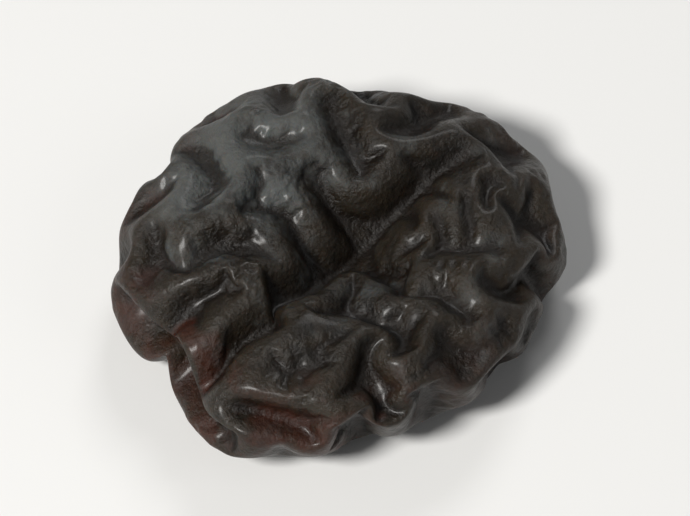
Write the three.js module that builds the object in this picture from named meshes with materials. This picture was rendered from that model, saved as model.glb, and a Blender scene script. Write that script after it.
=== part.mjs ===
// A whole dried apricot, its stone squeezed out, lying on its flatter cheek. Millimetres, +Z up.
// +X runs from the stem end to the tip, and the origin is on the surface that the fruit lies on,
// under the middle of its outline.
//
// The fruit is one closed skin, and it is shaped in the order in which the real one forms. A flattened
// body has a seam, a sunken cheek and the slit that the stone left by. Its skin is longer than the
// shrunken flesh under it, so it buckles into folds, while the tray below keeps the lower cheek flat.
import * as THREE from "three";
import { mergeVertices } from "three/addons/utils/BufferGeometryUtils.js";
import { ImprovedNoise } from "three/addons/math/ImprovedNoise.js";

// The body's outline, in millimetres.
const LENGTH = 38;
const WIDTH = 34.5;
const TIP_POINT = 0.7;
const STEM_NOTCH = 1.3;

// The two cheeks. A cheek with a higher power is flatter in the middle and turns down later.
const UPPER_RISE = 7.4; // above the rim's middle
const UPPER_POWER = 2.1;
const LOWER_DROP = 6; // below the rim's middle
const LOWER_POWER = 2.5;
const TRAY_PRESS = 0.5; // how much of the lower cheek the tray has flattened

// The body's slight curl, as heights for each square millimetre away from the middle.
const SIDES_UP = 0.0032;
const ENDS_DOWN = 0.0024;
const TWIST = 0.004;

// The hollow that the stone left in each cheek.
const HOLLOW_RADIUS = 8;
const UPPER_HOLLOW = { depth: 4.8, x: 1.5, y: -1 };
const LOWER_HOLLOW = { depth: 1.2, x: -1, y: 1 };

// The seam over the upper cheek, which fades out short of the tip.
const SEAM_DEPTH = 1.6;
const SEAM_HALF_WIDTH = 1.9;
const SEAM_Y = -1.8;
const SEAM_SWAY = 2.2;
const SEAM_END_X = 17;
const SEAM_FADE = 9;

// The slit at the stem end that the stone left by.
const SLIT_HALF_WIDTH = 5;
const SLIT_HALF_HEIGHT = 1;
const SLIT_DEPTH = 5.5;
const SLIT_Z = 0.7;
const SLIT_TILT = 0.06;

// How much longer the skin is than the body under it, as shares of the body's own length.
const EVEN_EXCESS = 0.16;
const RIM_EXCESS = 0.06;
const STEM_EXCESS = 0.2;
const STEM_X = -17;
const STEM_REACH = 12;
const PATCHES_PER_MM = 0.11;

// The mesh and the folding.
const MESH_DETAIL = 21; // each edge of an icosahedron is split into one more piece than this
const STRETCH_STIFFNESS = 1;
const BEND_STIFFNESS = 0.5;
const FLESH_STIFFNESS = 0.008; // holds the skin to the body
const FLESH_PULL = 0.03; // added where the skin lifts off, which keeps ridges round and valleys narrow
const WALL_STIFFNESS = 1.5;
const WALL_GAP = 0.85; // the least gap between two walls of a fold
const FOLDING_STEPS = 520;
const STEPS_PER_SEARCH = 8;
const STEP_TIME = 0.35;
const STEP_DRAG = 0.9;

const noise = new ImprovedNoise();
const { smoothstep } = THREE.MathUtils;
const bell = (distance, spread) => Math.exp(-((distance / spread) ** 2));

// The outline's radius at an angle round Z: a broad oval, a little pointed at the tip, notched at the stem.
function outlineRadius(angle) {
  const a = LENGTH / 2;
  const b = WIDTH / 2;
  const oval = (a * b) / Math.hypot(b * Math.cos(angle), a * Math.sin(angle));
  const fromStem = Math.PI - Math.abs(angle);
  const lumps = 0.45 * Math.cos(3 * angle + 1.1) + 0.3 * Math.cos(5 * angle + 0.4);
  return oval + TIP_POINT * bell(angle, 0.5) - STEM_NOTCH * bell(fromStem, 0.3) + lumps;
}

// The share of its full height that a cheek has at a share q of the way from the middle to the rim.
const cheekShare = (q, power) => (1 - q ** power) ** (1 / power);

// Makes the function that turns a share of a cheek's profile, by length, into a share of its radius.
// Spacing the mesh by length keeps its triangles even from the middle of a cheek to the rim.
function profileSpacing(steps) {
  const radius = (LENGTH + WIDTH) / 4;
  const heightAt = (i) => UPPER_RISE * cheekShare(i / steps, UPPER_POWER);
  const lengths = [0];
  for (let i = 1; i <= steps; i++) {
    lengths.push(lengths[i - 1] + Math.hypot(heightAt(i - 1) - heightAt(i), radius / steps));
  }
  return (share) => {
    const wanted = Math.min(share, 1) * lengths[steps];
    const i = Math.max(1, lengths.findIndex((length) => length >= wanted));
    return (i - 1 + (wanted - lengths[i - 1]) / (lengths[i] - lengths[i - 1])) / steps;
  };
}
const shareOfRadius = profileSpacing(400);

function hollowAt(hollow, x, y) {
  return hollow.depth * bell(Math.hypot(x - hollow.x, y - hollow.y), HOLLOW_RADIUS);
}

function seamAt(x, y, q) {
  const middle = SEAM_Y + SEAM_SWAY * Math.sin(x * 0.11 + 0.6);
  const strength = smoothstep(SEAM_END_X - x, 0, SEAM_FADE) * (1 - q ** 8);
  return SEAM_DEPTH * strength * Math.exp(-Math.abs(y - middle) / SEAM_HALF_WIDTH);
}

function slitAt(x, y, z) {
  const height = SLIT_Z + SLIT_TILT * y;
  const nearStem = smoothstep(-x, 7, 13);
  return SLIT_DEPTH * nearStem * bell(y, SLIT_HALF_WIDTH) * bell(z - height, SLIT_HALF_HEIGHT);
}

// The smooth dried body: where a point of the unit sphere goes before the skin folds.
function bodyPoint(n) {
  const angle = Math.atan2(n.y, n.x);
  const q = shareOfRadius(Math.acos(Math.min(1, Math.abs(n.z))) / (Math.PI / 2));
  let x = outlineRadius(angle) * q * Math.cos(angle);
  const y = outlineRadius(angle) * q * Math.sin(angle);
  let z;
  if (n.z > 0) {
    z = UPPER_RISE * cheekShare(q, UPPER_POWER) - hollowAt(UPPER_HOLLOW, x, y) - seamAt(x, y, q);
  } else {
    z = hollowAt(LOWER_HOLLOW, x, y) - LOWER_DROP * cheekShare(q, LOWER_POWER);
  }
  x += slitAt(x, y, z);
  z += SIDES_UP * y * y - ENDS_DOWN * x * x + TWIST * x * y;
  return new THREE.Vector3(x, y, z);
}

// How much longer the skin is than the body, at a point p and along a direction t. Most of the excess
// is even. The rest runs round the rim, and round the stem end, where it gathers the fruit.
function excessLength(p, t) {
  const roundRim = new THREE.Vector3(-p.y, p.x, 0).normalize().dot(t) ** 2;
  const roundStem = new THREE.Vector3(0, -p.z, p.y).normalize().dot(t) ** 2;
  const rim = smoothstep(Math.hypot(p.x / (LENGTH / 2), p.y / (WIDTH / 2)), 0.35, 0.95);
  const stem = bell(Math.hypot(p.x - STEM_X, p.y), STEM_REACH);
  const at = p.clone().multiplyScalar(PATCHES_PER_MM);
  const patch = 0.5 + 0.5 * noise.noise(at.x + 3.1, at.y, at.z);
  return EVEN_EXCESS * (0.3 + patch) + RIM_EXCESS * patch * rim * roundRim + STEM_EXCESS * stem * roundStem;
}

// The small uneven push along the normal that starts the folds, at a point of the body.
function firstPush(x, y, z) {
  return 0.35 * noise.noise(x * 0.45, y * 0.45, z * 0.45 + 7) + 0.15 * noise.noise(x, y, z);
}

// A mesh's edges, and for each vertex those one edge away and those within two edges.
function connections(index, count) {
  const ring = Array.from({ length: count }, () => new Set());
  for (let i = 0; i < index.length; i += 3) {
    for (let k = 0; k < 3; k++) {
      const [a, b] = [index[i + k], index[i + ((k + 1) % 3)]];
      ring[a].add(b);
      ring[b].add(a);
    }
  }
  const edges = ring.flatMap((around, a) => [...around].filter((b) => a < b).map((b) => [a, b]));
  const near = ring.map((around) => new Set([...around].flatMap((b) => [...ring[b]])));
  return { edges, ring, near };
}

function distance(x, a, b) {
  return Math.hypot(x[a * 3] - x[b * 3], x[a * 3 + 1] - x[b * 3 + 1], x[a * 3 + 2] - x[b * 3 + 2]);
}

// The pairs of vertices within a reach that aren't neighbours on the skin, found by sorting the vertices
// into cubic cells. Such a pair faces across a fold.
function closePairs(x, near, reach) {
  const cells = new Map();
  const cellName = (i, j, k) => ((i + 500) * 1000 + (j + 500)) * 1000 + (k + 500);
  const pairs = [];
  for (let a = 0; a < near.length; a++) {
    const [i, j, k] = [0, 1, 2].map((c) => Math.floor(x[a * 3 + c] / reach));
    for (let n = 0; n < 27; n++) {
      const name = cellName(i - 1 + Math.floor(n / 9), j - 1 + (Math.floor(n / 3) % 3), k - 1 + (n % 3));
      for (const b of cells.get(name) ?? []) {
        if (!near[a].has(b) && distance(x, a, b) < reach) pairs.push([a, b]);
      }
    }
    const own = cellName(i, j, k);
    if (!cells.has(own)) cells.set(own, []);
    cells.get(own).push(a);
  }
  return pairs;
}

// Folds the skin, a net of springs that are too long for the body, and returns its points at rest.
function foldSkin(body, normals, index, floor) {
  const count = body.length / 3;
  const { edges, ring, near } = connections(index, count);
  const x = Float64Array.from(body);
  const [velocity, force, shift] = [0, 0, 0].map(() => new Float64Array(count * 3));
  const [bend, bendOfBend] = [0, 0].map(() => new Float64Array(count * 3));

  const restLengths = edges.map(([a, b]) => {
    const from = new THREE.Vector3().fromArray(body, a * 3);
    const to = new THREE.Vector3().fromArray(body, b * 3);
    const along = to.clone().sub(from).normalize();
    return from.distanceTo(to) * (1 + excessLength(from.clone().lerp(to, 0.5), along));
  });

  // Each value less the mean of its neighbours' values.
  const unevenness = (values, result) => {
    result.fill(0);
    for (const [a, b] of edges) {
      for (let c = 0; c < 3; c++) {
        result[a * 3 + c] += values[b * 3 + c];
        result[b * 3 + c] += values[a * 3 + c];
      }
    }
    for (let i = 0; i < result.length; i++) {
      result[i] = values[i] - result[i] / ring[Math.floor(i / 3)].size;
    }
  };

  const addSpring = (a, b, stiffness, restLength) => {
    const length = distance(x, a, b);
    const pull = (stiffness * (length - restLength)) / length;
    for (let c = 0; c < 3; c++) {
      const part = pull * (x[b * 3 + c] - x[a * 3 + c]);
      force[a * 3 + c] += part;
      force[b * 3 + c] -= part;
    }
  };

  for (let i = 0; i < x.length; i += 3) {
    const push = firstPush(body[i], body[i + 1], body[i + 2]);
    for (let c = 0; c < 3; c++) x[i + c] += push * normals[i + c];
  }
  let walls = [];
  for (let step = 0; step < FOLDING_STEPS; step++) {
    if (step % STEPS_PER_SEARCH === 0) walls = closePairs(x, near, 1.5 * WALL_GAP);
    for (let i = 0; i < x.length; i++) shift[i] = x[i] - body[i];
    unevenness(shift, bend);
    unevenness(bend, bendOfBend);
    for (let i = 0; i < x.length; i += 3) {
      const lift = shift[i] * normals[i] + shift[i + 1] * normals[i + 1] + shift[i + 2] * normals[i + 2];
      for (let c = 0; c < 3; c++) {
        const held = FLESH_STIFFNESS * shift[i + c] + FLESH_PULL * Math.max(0, lift) * normals[i + c];
        force[i + c] = -BEND_STIFFNESS * bendOfBend[i + c] - held;
      }
    }
    edges.forEach(([a, b], k) => addSpring(a, b, STRETCH_STIFFNESS, restLengths[k]));
    for (const [a, b] of walls) {
      if (distance(x, a, b) < WALL_GAP) addSpring(a, b, WALL_STIFFNESS, WALL_GAP);
    }
    for (let i = 0; i < x.length; i++) {
      velocity[i] = (velocity[i] + STEP_TIME * force[i]) * STEP_DRAG;
      x[i] += STEP_TIME * velocity[i];
    }
    for (let i = 2; i < x.length; i += 3) x[i] = Math.max(x[i], floor);
  }
  return x;
}

// A closed ball of even triangles, shaped into the body.
function bodyGeometry() {
  const ball = new THREE.IcosahedronGeometry(1, MESH_DETAIL);
  ball.deleteAttribute("normal");
  ball.deleteAttribute("uv");
  const geometry = mergeVertices(ball);
  const position = geometry.getAttribute("position");
  const n = new THREE.Vector3();
  for (let i = 0; i < position.count; i++) {
    const p = bodyPoint(n.fromBufferAttribute(position, i));
    position.setXYZ(i, p.x, p.y, p.z);
  }
  geometry.computeVertexNormals();
  geometry.computeBoundingBox();
  return geometry;
}

function apricotGeometry() {
  const geometry = bodyGeometry();
  const { position, normal } = geometry.attributes;
  const floor = geometry.boundingBox.min.z + TRAY_PRESS;
  const body = Float64Array.from(position.array);
  position.array.set(foldSkin(body, normal.array, geometry.index.array, floor));
  geometry.computeVertexNormals();
  geometry.computeBoundingBox();
  const { min, max } = geometry.boundingBox;
  return geometry.translate(-(min.x + max.x) / 2, -(min.y + max.y) / 2, -min.z);
}

const driedSkin = new THREE.MeshStandardMaterial({ color: 0x2a1a12, roughness: 0.5, metalness: 0 });
const apricot = new THREE.Mesh(apricotGeometry(), driedSkin);
apricot.name = "apricot";

const group = new THREE.Group();
group.add(apricot);
export default group;
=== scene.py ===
"""A whole dried apricot, lying on its flatter cheek. Metres, +Z up; the skin is worked out in millimetres.

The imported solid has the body, the seam, the slit and the large folds. The skin that is shown starts
from that solid and folds twice more, as drying skin does: it is longer than what it covers, so it
buckles into wrinkles a few millimetres apart, and those into creases about half as far apart.
"""

import math

import bmesh
import bpy
import numpy as np
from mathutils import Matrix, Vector, noise
from mathutils.bvhtree import BVHTree


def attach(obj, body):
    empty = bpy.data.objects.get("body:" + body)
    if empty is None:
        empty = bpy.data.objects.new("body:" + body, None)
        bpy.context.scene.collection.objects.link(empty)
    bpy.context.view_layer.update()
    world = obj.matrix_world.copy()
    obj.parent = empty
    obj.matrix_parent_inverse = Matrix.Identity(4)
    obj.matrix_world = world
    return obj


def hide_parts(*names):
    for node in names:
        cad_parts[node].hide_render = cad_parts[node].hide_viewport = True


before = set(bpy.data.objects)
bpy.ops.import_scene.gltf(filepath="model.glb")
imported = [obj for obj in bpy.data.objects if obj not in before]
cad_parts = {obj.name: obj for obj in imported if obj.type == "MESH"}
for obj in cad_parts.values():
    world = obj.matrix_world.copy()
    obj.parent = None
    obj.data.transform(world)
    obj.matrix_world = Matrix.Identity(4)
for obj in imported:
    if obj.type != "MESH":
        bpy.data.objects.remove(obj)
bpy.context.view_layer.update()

MM = 0.001
SAME_CORNER_MM = 0.001

# How the skin folds. Lengths count in mesh edges here, so each division of the mesh halves the folds.
BEND_STIFFNESS = 0.25
FLESH_STIFFNESS = 0.007  # holds the skin to the flesh
FLESH_PULL = 0.03  # added where the skin lifts off, so that ridges are round and valleys narrow
STEP_TIME = 0.35
STEP_DRAG = 0.9
NO_LENGTH = 1e-6

# The excess is the share by which the skin is longer than its flesh. A first push starts the folds.
WRINKLE_EXCESS = 0.10
WRINKLE_PUSH_MM = 0.08
WRINKLE_STEPS = 260
CREASE_EXCESS = 0.09
CREASE_PUSH_MM = 0.04
CREASE_STEPS = 160

# The excess changes in patches, and some places get less of it.
USUAL_SHARE = 0.65  # the share of the excess where the patches' noise is 0
CALM_SHARE = 0.8  # how much of it the middle of the smoother cheek lacks, which gets dust and a painted sheen
TAUT_SHARE = 0.75  # how much of it the valleys lack that are there already
WRINKLE_VALLEY_MM = (0.004, 0.03)  # how deep a valley is where it begins to count, and where it counts fully
CREASE_VALLEY_MM = (0.002, 0.012)

SMOOTHING = 0.5  # the share of its unevenness that a place loses in a round

# Folds that have pushed into each other are smoothed, with the places a few mesh edges round them.
EASING_TRIES = 8
EASING_ROUNDS = 5
EASING_SPREAD = 4
EASING_GAIN = 4

# Flesh this thin lets light through and looks red-brown, and flesh this thick doesn't.
THIN_MM = 1.2
THICK_MM = 4.8
THICKNESS_ROUNDS = 14
UNDER_SKIN_MM = 0.05  # where the measuring of the thickness starts

FULL_FOLD_MM = 0.012  # how high or deep a place is that gets the full painted highlight of a ridge or the full painted shade of a valley

# The part of the cheek that is smoother and gets a dull grey bloom, which is dust with a painted sheen of
# reflected light laid over it, in millimetres.
SHEEN_CHEEK_CENTRE = (-4, 12, 9)
SHEEN_CHEEK_REACH = (12, 8, 7)

# The outline's half length and half width in millimetres, and the share of them where the rim starts.
RIM_REACH = (19.8, 18.0)
RIM_START = 0.74
FAR_RIM = 0.35  # the strength of the rim away from the stem end
STEM_END_MM = (-4, 14)  # along -X, from where the rim grows stronger to where it is strongest

# The skin's colours.
BLACK_BROWN = (0.0055, 0.0042, 0.0029, 1)
BROWN = (0.0155, 0.0112, 0.0067, 1)
SPECKLE_BROWN = (0.026, 0.0175, 0.0098, 1)
# painted highlight: the ridges are lightened as if the light caught them
RIDGE_HIGHLIGHT_BROWN = (0.034, 0.0265, 0.018, 1)
# painted shade: the valleys are darkened as if shade fell in them
VALLEY_SHADE_BLACK = (0.005, 0.0028, 0.0015, 1)
# painted glow: thin flesh and the rim are coloured red-brown as if light shone through them
RED_BROWN_GLOW = (0.042, 0.0098, 0.004, 1)
# dust, and on the smoother cheek a painted sheen of reflected light
BLOOM_AND_SHEEN_GREY = (0.112, 0.121, 0.119, 1)

FLOOR_WHITE = (0.80, 0.80, 0.79, 1)
FLOOR_REACH = 3
SKY_WHITE = (0.95, 0.97, 1.0, 1)
SKY_STRENGTH = 0.08
WARM_LIGHT = (1.0, 0.985, 0.96)

# The photograph's viewing angle, in degrees.
AZIMUTH = -37
ELEVATION = 55
LENS = 250
CAMERA_DISTANCE = 0.41
NEAREST_SEEN = 0.01
LOOK_AT = (0, 0, 0.005)


def read(items, field):
    """The three numbers of each item, in a row for each."""
    values = np.empty(len(items) * 3, np.float32)
    items.foreach_get(field, values)
    return values.reshape(-1, 3).astype(np.float64)


def read_mm(mesh):
    return read(mesh.vertices, "co") / MM


def write_mm(mesh, points):
    mesh.vertices.foreach_set("co", (points * MM).astype(np.float32).ravel())
    mesh.update()


def noise_at(points, scale, shift=0.0):
    """Perlin noise at each point in millimetres, with about that many lumps to the millimetre."""
    start = Vector((shift, 0, 0))
    return np.array([noise.noise(Vector(p) * scale + start) for p in points])


def ramp(values, low, high):
    """0 at low and 1 at high, with soft ends."""
    t = np.clip((values - low) / (high - low), 0, 1)
    return t * t * (3 - 2 * t)


def neighbours_of(mesh):
    """A row for each vertex with its neighbours, and a row that is 1 where a neighbour is real."""
    ends = np.empty(len(mesh.edges) * 2, np.int32)
    mesh.edges.foreach_get("vertices", ends)
    ends = ends.reshape(-1, 2)
    pairs = np.concatenate([ends, ends[:, ::-1]])
    pairs = pairs[np.argsort(pairs[:, 0], kind="stable")]
    count = np.bincount(pairs[:, 0])
    place = np.arange(len(pairs)) - (np.cumsum(count) - count)[pairs[:, 0]]
    others = np.zeros((len(count), count.max()), np.int32)
    real = np.zeros(others.shape)
    others[pairs[:, 0], place] = pairs[:, 1]
    real[pairs[:, 0], place] = 1
    return others, real


def uneven(values, others, real):
    """Each value less the mean of its neighbours' values."""
    return values - (values[others] * real[..., None]).sum(1) / real.sum(1)[:, None]


def widened(values, others, real, rounds):
    """Spreads each value over its neighbours that many times."""
    for _ in range(rounds):
        values = (values + (values[others] * real).sum(1)) / (1 + real.sum(1))
    return values


def bulge_of(mesh, rounds):
    """How far in millimetres each vertex stands out from its neighbours, evened over some rounds of them."""
    others, real = neighbours_of(mesh)
    bumps = uneven(read_mm(mesh), others, real)
    return widened((bumps * read(mesh.vertex_normals, "vector")).sum(1), others, real, rounds)


def merge_corners(mesh):
    bm = bmesh.new()
    bm.from_mesh(mesh)
    bmesh.ops.remove_doubles(bm, verts=bm.verts, dist=SAME_CORNER_MM * MM)
    bm.to_mesh(mesh)
    bm.free()


def finer(mesh, rounds):
    """Divides every triangle in four and rounds off the corners between them."""
    bm = bmesh.new()
    bm.from_mesh(mesh)
    bmesh.ops.subdivide_edges(bm, edges=bm.edges, cuts=1, use_grid_fill=True)
    for _ in range(rounds):
        bmesh.ops.smooth_vert(
            bm, verts=bm.verts, factor=SMOOTHING, use_axis_x=True, use_axis_y=True, use_axis_z=True
        )
    bm.to_mesh(mesh)
    bm.free()


def fold(mesh, excess, push, steps):
    """Folds a skin that is longer than its flesh by a share at each vertex, after a small first push."""
    others, real = neighbours_of(mesh)
    flesh = read_mm(mesh)
    normals = read(mesh.vertex_normals, "vector")
    spans = np.linalg.norm(flesh[others] - flesh[:, None], axis=2)
    lengths = spans * (1 + (excess[:, None] + excess[others]) / 2)
    skin = flesh + push[:, None] * normals
    velocity = np.zeros_like(skin)
    for _ in range(steps):
        shift = skin - flesh
        lift = np.maximum(0, (shift * normals).sum(1))[:, None]
        reach = skin[others] - skin[:, None]
        now = np.maximum(np.linalg.norm(reach, axis=2), NO_LENGTH)
        springs = (reach * (real * (1 - lengths / now))[..., None]).sum(1)
        bending = uneven(uneven(shift, others, real), others, real)
        held = FLESH_STIFFNESS * shift + FLESH_PULL * lift * normals
        velocity = (velocity + STEP_TIME * (springs - BEND_STIFFNESS * bending - held)) * STEP_DRAG
        skin += STEP_TIME * velocity
        skin[:, 2] = np.maximum(skin[:, 2], 0)
    write_mm(mesh, skin)


def round_ridges(mesh, rounds):
    """Rounds the ridges and leaves the valleys sharp, as the thickness of the skin does."""
    others, real = neighbours_of(mesh)
    skin = read_mm(mesh)
    normals = read(mesh.vertex_normals, "vector")
    for _ in range(rounds):
        bumps = uneven(skin, others, real)
        skin -= SMOOTHING * bumps * ((bumps * normals).sum(1) > 0)[:, None]
    write_mm(mesh, skin)


def crossing_faces(skin, faces):
    """The faces that cut through another face, a pair in each row. Faces that share a corner don't count."""
    tree = BVHTree.FromPolygons(skin.tolist(), faces.tolist(), all_triangles=True)
    pairs = np.array(tree.overlap(tree), np.int32).reshape(-1, 2)
    pairs = pairs[pairs[:, 0] < pairs[:, 1]]
    first, second = faces[pairs[:, 0]], faces[pairs[:, 1]]
    return pairs[~(first[:, :, None] == second[:, None, :]).any((1, 2))]


def ease_apart(mesh):
    """Smooths the skin where two folds have pushed into each other, for a set number of tries, stopping
    early once none do.
    """
    others, real = neighbours_of(mesh)
    faces = np.empty(len(mesh.polygons) * 3, np.int32)
    mesh.polygons.foreach_get("vertices", faces)
    faces = faces.reshape(-1, 3)
    skin = read_mm(mesh)
    for _ in range(EASING_TRIES):
        pairs = crossing_faces(skin, faces)
        if not len(pairs):
            break
        near = np.zeros(len(skin))
        near[faces[pairs].ravel()] = 1
        near = np.minimum(1, EASING_GAIN * widened(near, others, real, EASING_SPREAD))[:, None]
        for _ in range(EASING_ROUNDS):
            skin -= SMOOTHING * near * uneven(skin, others, real)
    write_mm(mesh, skin)


def flesh_thickness(mesh):
    """How far it is in millimetres from each vertex straight through to the other side."""
    bm = bmesh.new()
    bm.from_mesh(mesh)
    tree = BVHTree.FromBMesh(bm)
    depth = []
    for v in bm.verts:
        inward = -v.normal
        hit = tree.ray_cast(v.co + inward * UNDER_SKIN_MM * MM, inward)
        depth.append(hit[3] / MM if hit[3] is not None else THICK_MM)
    bm.free()
    return np.array(depth)


def glowing_rim(points):
    """1 on the rim at the stem end, where the flesh is thinnest and the painted red-brown glow of light let
    through is strongest, and less round the rest of the rim.
    """
    out = np.hypot(points[:, 0] / RIM_REACH[0], points[:, 1] / RIM_REACH[1])
    return ramp(out, RIM_START, 1.0) * (FAR_RIM + (1 - FAR_RIM) * ramp(-points[:, 0], *STEM_END_MM))


def dust_and_sheen_cheek(points):
    """1 in the middle of the smoother part of the cheek, where the dull bloom is strongest and is partly a
    painted sheen, and 0 away from it.
    """
    away = np.linalg.norm((points - SHEEN_CHEEK_CENTRE) / SHEEN_CHEEK_REACH, axis=1)
    return np.exp(-(away**2))


def patches(points, swing, least, scale, shift):
    """The share of the excess that each place has, which changes in patches."""
    return np.maximum(USUAL_SHARE + swing * noise_at(points, scale, shift), least)


def taut(mesh, valley):
    """1 where the skin may fold freely, and less in the valleys that are there, so that they stay clean."""
    return 1 - TAUT_SHARE * ramp(-bulge_of(mesh, rounds=8), *valley)


def wrinkle(mesh):
    finer(mesh, rounds=5)
    points = read_mm(mesh)
    excess = WRINKLE_EXCESS * patches(points, swing=1.3, least=0.4, scale=0.1, shift=5)
    excess = excess * (1 - CALM_SHARE * dust_and_sheen_cheek(points)) * taut(mesh, WRINKLE_VALLEY_MM)
    fold(mesh, excess, WRINKLE_PUSH_MM * noise_at(points, scale=0.9), WRINKLE_STEPS)
    round_ridges(mesh, rounds=2)


def crease(mesh):
    finer(mesh, rounds=1)
    points = read_mm(mesh)
    excess = CREASE_EXCESS * patches(points, swing=1.2, least=0.35, scale=0.22, shift=11)
    excess = excess * taut(mesh, CREASE_VALLEY_MM)
    fold(mesh, excess, CREASE_PUSH_MM * noise_at(points, scale=1.9), CREASE_STEPS)
    round_ridges(mesh, rounds=3)


def mark_skin(mesh):
    """Gives each place on the skin what its finish depends on, from 0 to 1."""
    points = read_mm(mesh)
    bulge = bulge_of(mesh, rounds=6)
    thickness = widened(flesh_thickness(mesh), *neighbours_of(mesh), THICKNESS_ROUNDS)
    marks = {
        "cheek_dust_and_sheen": dust_and_sheen_cheek(points),
        "rim": glowing_rim(points),
        "ridge": ramp(bulge, 0, FULL_FOLD_MM),
        "valley": ramp(-bulge, 0, FULL_FOLD_MM),
        "thin": 1 - ramp(thickness, THIN_MM, THICK_MM),
    }
    for name, values in marks.items():
        attribute = mesh.attributes.new(name, "FLOAT", "POINT")
        attribute.data.foreach_set("value", np.clip(values, 0, 1).astype(np.float32))


def dried_apricot():
    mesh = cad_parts["apricot"].data.copy()
    mesh.name = "dried_apricot"
    mesh.materials.clear()
    merge_corners(mesh)
    wrinkle(mesh)
    crease(mesh)
    ease_apart(mesh)
    mark_skin(mesh)
    mesh.shade_smooth()
    piece = bpy.data.objects.new("dried_apricot", mesh)
    bpy.context.scene.collection.objects.link(piece)
    return piece


class Finish:
    """A material and short ways to add its nodes. Sizes are in millimetres."""

    def __init__(self, name):
        self.material = bpy.data.materials.new(name)
        self.material.use_nodes = True
        self.tree = self.material.node_tree
        self.shader = self.tree.nodes["Principled BSDF"]
        self.place = self.tree.nodes.new("ShaderNodeTexCoord").outputs["Object"]

    def fill(self, socket, value):
        """Links the socket to a node's output, or sets it to a plain value."""
        if isinstance(value, bpy.types.NodeSocket):
            self.tree.links.new(value, socket)
        else:
            socket.default_value = value

    def surface(self, inputs):
        for name, value in inputs.items():
            self.fill(self.shader.inputs[name], value)

    def add(self, kind, inputs, **settings):
        made = self.tree.nodes.new(kind)
        for name, value in settings.items():
            setattr(made, name, value)
        for name, value in inputs.items():
            self.fill(made.inputs[name], value)
        return made

    def attribute(self, name):
        return self.add("ShaderNodeAttribute", {}, attribute_name=name).outputs["Fac"]

    def grain(self, size, detail, roughness=0.5):
        """Noise with lumps of about that size."""
        inputs = {"Vector": self.place, "Scale": 1 / (size * MM), "Detail": detail, "Roughness": roughness}
        return self.add("ShaderNodeTexNoise", inputs).outputs["Fac"]

    def pores(self, size):
        """0 in the middle of each pore, and more towards its edge."""
        inputs = {"Vector": self.place, "Scale": 1 / (size * MM)}
        return self.add("ShaderNodeTexVoronoi", inputs).outputs["Distance"]

    def bump(self, height, depth):
        inputs = {"Height": height, "Strength": 1.0, "Distance": depth * MM}
        return self.add("ShaderNodeBump", inputs).outputs["Normal"]

    def between(self, value, low, high, start=0.0, end=1.0):
        """start where the value is low, end where it is high."""
        inputs = {"Value": value, "From Min": low, "From Max": high, "To Min": start, "To Max": end}
        return self.add("ShaderNodeMapRange", inputs, interpolation_type="SMOOTHSTEP").outputs["Result"]

    def times(self, a, b):
        return self.add("ShaderNodeMath", {0: a, 1: b}, operation="MULTIPLY").outputs[0]

    def plus(self, a, b):
        return self.add("ShaderNodeMath", {0: a, 1: b}, operation="ADD").outputs[0]

    def larger(self, a, b):
        return self.add("ShaderNodeMath", {0: a, 1: b}, operation="MAXIMUM").outputs[0]

    def mix(self, share, a, b):
        """Colour a where the share is 0, and b where it is 1."""
        made = self.tree.nodes.new("ShaderNodeMix")
        made.data_type = "RGBA"
        share_socket, a_socket, b_socket = made.inputs[0], made.inputs[6], made.inputs[7]
        self.fill(share_socket, share)
        self.fill(a_socket, a)
        self.fill(b_socket, b)
        return made.outputs[2]


def flesh_colour(f):
    """Brown-black in patches, with brown speckles, painted highlights on the ridges, painted shade in the
    valleys, and a painted red-brown glow of light let through thin flesh and the rim.
    """
    tone = f.between(f.grain(size=9, detail=4), 0.35, 0.65)
    mottle = f.grain(size=1.6, detail=5, roughness=0.6)
    speckles = f.between(mottle, 0.4, 0.7)
    rim = f.times(f.attribute("rim"), f.between(f.grain(size=5, detail=4, roughness=0.6), 0.42, 0.62))
    # painted glow of the light let through thin flesh and the rim
    red_glow = f.times(f.larger(rim, f.attribute("thin")), f.between(mottle, 0.35, 0.65, start=0.5, end=0.8))

    colour = f.mix(tone, BLACK_BROWN, BROWN)
    colour = f.mix(f.times(speckles, 0.5), colour, SPECKLE_BROWN)
    # painted highlight on the ridges
    colour = f.mix(f.times(f.attribute("ridge"), 0.3), colour, RIDGE_HIGHLIGHT_BROWN)
    # painted shade in the valleys
    colour = f.mix(f.times(f.attribute("valley"), 0.8), colour, VALLEY_SHADE_BLACK)
    return f.mix(red_glow, colour, RED_BROWN_GLOW)


def bloom_and_sheen_share(f):
    """Dull grey bloom in patches, which is dust, with most of it on the smoother cheek, where it is a
    painted sheen of reflected light. Little of it in valleys and on the rim.
    """
    dust_and_sheen = f.plus(f.grain(size=5, detail=6, roughness=0.66), f.times(f.attribute("cheek_dust_and_sheen"), 0.32))
    in_valley = f.between(f.attribute("valley"), 0, 1, start=1, end=0.15)
    on_rim = f.between(f.attribute("rim"), 0, 1, start=1, end=0.3)
    return f.times(f.times(f.between(dust_and_sheen, 0.52, 0.80), in_valley), on_rim)


def leather_grain(f):
    grain = f.between(f.grain(size=0.6, detail=5, roughness=0.6), 0.3, 0.7)
    pores = f.between(f.pores(size=0.55), 0.0, 0.5)
    return f.bump(f.plus(grain, f.times(pores, 0.35)), depth=0.08)


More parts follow.
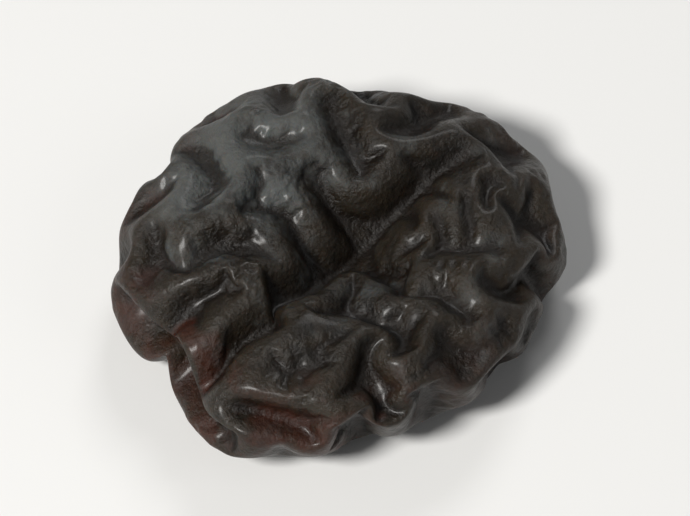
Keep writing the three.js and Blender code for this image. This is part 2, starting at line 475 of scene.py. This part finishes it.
def skin_finish():
    """Dark, leathery dried skin."""
    f = Finish("dried_skin")
    bloom_and_sheen = bloom_and_sheen_share(f)
    gloss = f.between(f.grain(size=2.5, detail=4), 0.3, 0.7, start=0.36, end=0.54)
    f.surface({
        # dust in patches, with a painted sheen of reflected light on the smoother cheek
        "Base Color": f.mix(f.times(bloom_and_sheen, 0.6), flesh_colour(f), BLOOM_AND_SHEEN_GREY),
        "Roughness": f.plus(gloss, f.times(bloom_and_sheen, 0.16)),
        "Normal": leather_grain(f),
        "IOR": 1.45,
        "Specular IOR Level": 0.33,
        "Subsurface Weight": 0.18,
        "Subsurface Radius": (1.0, 0.30, 0.10),
        "Subsurface Scale": 1.2 * MM,
        "Coat Weight": 0.12,
        "Coat Roughness": 0.2,
    })
    return f.material


def look(thing, place, at):
    thing.location = place
    thing.rotation_euler = (Vector(at) - Vector(place)).to_track_quat("-Z", "Y").to_euler()


def direction(azimuth, elevation):
    """The way from the object to a viewer there. Azimuth 0 looks along +Y."""
    a, e = math.radians(azimuth), math.radians(elevation)
    return Vector((math.sin(a) * math.cos(e), -math.cos(a) * math.cos(e), math.sin(e)))


def pale_floor():
    bm = bmesh.new()
    bmesh.ops.create_grid(bm, x_segments=1, y_segments=1, size=FLOOR_REACH)
    mesh = bpy.data.meshes.new("floor")
    bm.to_mesh(mesh)
    bm.free()
    floor = bpy.data.objects.new("floor", mesh)
    bpy.context.scene.collection.objects.link(floor)
    f = Finish("pale_floor")
    f.surface({"Base Color": FLOOR_WHITE, "Roughness": 0.9})
    mesh.materials.append(f.material)


def pale_sky():
    world = bpy.data.worlds.new("studio")
    world.use_nodes = True
    background = world.node_tree.nodes["Background"]
    background.inputs["Color"].default_value = SKY_WHITE
    background.inputs["Strength"].default_value = SKY_STRENGTH
    bpy.context.scene.world = world
    bpy.context.scene.view_settings.view_transform = "Standard"


def softbox(name, azimuth, elevation, distance, size, power, colour=(1, 1, 1)):
    light = bpy.data.lights.new(name, "AREA")
    light.shape = "DISK"
    light.size = size
    light.energy = power
    light.color = colour
    box = bpy.data.objects.new(name, light)
    bpy.context.scene.collection.objects.link(box)
    look(box, direction(azimuth, elevation) * distance, LOOK_AT)
    box.visible_camera = False


def camera():
    seer = bpy.data.objects.new("camera", bpy.data.cameras.new("camera"))
    bpy.context.scene.collection.objects.link(seer)
    seer.data.lens = LENS
    seer.data.clip_start = NEAREST_SEEN
    look(seer, Vector(LOOK_AT) + direction(AZIMUTH, ELEVATION) * CAMERA_DISTANCE, LOOK_AT)
    bpy.context.scene.camera = seer


pale_floor()
pale_sky()
softbox("key", AZIMUTH - 50, elevation=48, distance=1.0, size=0.26, power=11.5, colour=WARM_LIGHT)
softbox("fill", AZIMUTH + 75, elevation=35, distance=1.1, size=0.6, power=0.9)
softbox("back", AZIMUTH + 165, elevation=40, distance=1.1, size=0.4, power=3)
camera()

apricot = dried_apricot()
apricot.data.materials.append(skin_finish())
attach(apricot, "root")
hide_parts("apricot")
